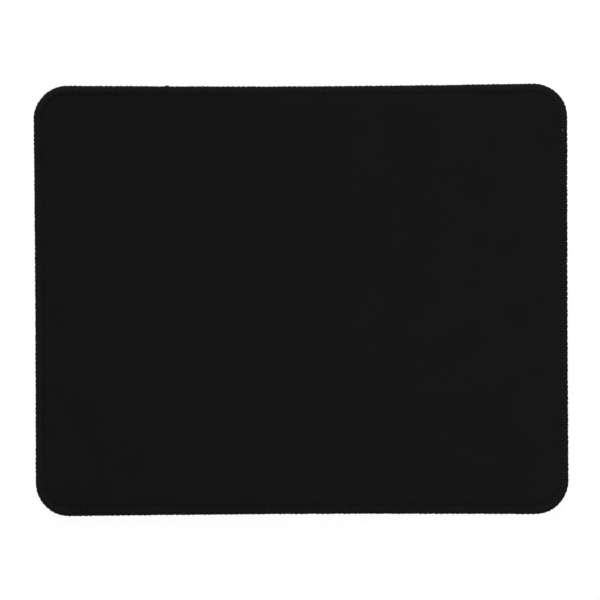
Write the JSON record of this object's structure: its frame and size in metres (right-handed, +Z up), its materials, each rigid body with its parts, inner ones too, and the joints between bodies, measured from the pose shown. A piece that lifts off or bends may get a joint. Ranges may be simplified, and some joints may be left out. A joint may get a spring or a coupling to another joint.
{
  "type": "mouse pad",
  "caption": "Thin rectangular mouse pad with rounded corners, a smooth cloth face on a foamed rubber base and an overlock-stitched edge.",
  "frame": {"origin": "on the desk, under the middle of the pad", "axes": "+X to the right along the long side, +Y from the user towards the rear side, +Z up out of the cloth face"},
  "size_m": [0.26, 0.21, 0.0031],
  "materials": {
    "foamed_rubber": "matte",
    "hot_melt_glue": "satin",
    "knitted_cloth": "matte",
    "sewing_thread": "matte"
  },
  "bodies": {
    "root": {"rubber_base": "foamed_rubber", "bonding_film": "hot_melt_glue", "top_cloth": "knitted_cloth", "needle_thread": "sewing_thread", "upper_looper_thread": "sewing_thread", "lower_looper_thread": "sewing_thread"}
  },
  "joints": []
}
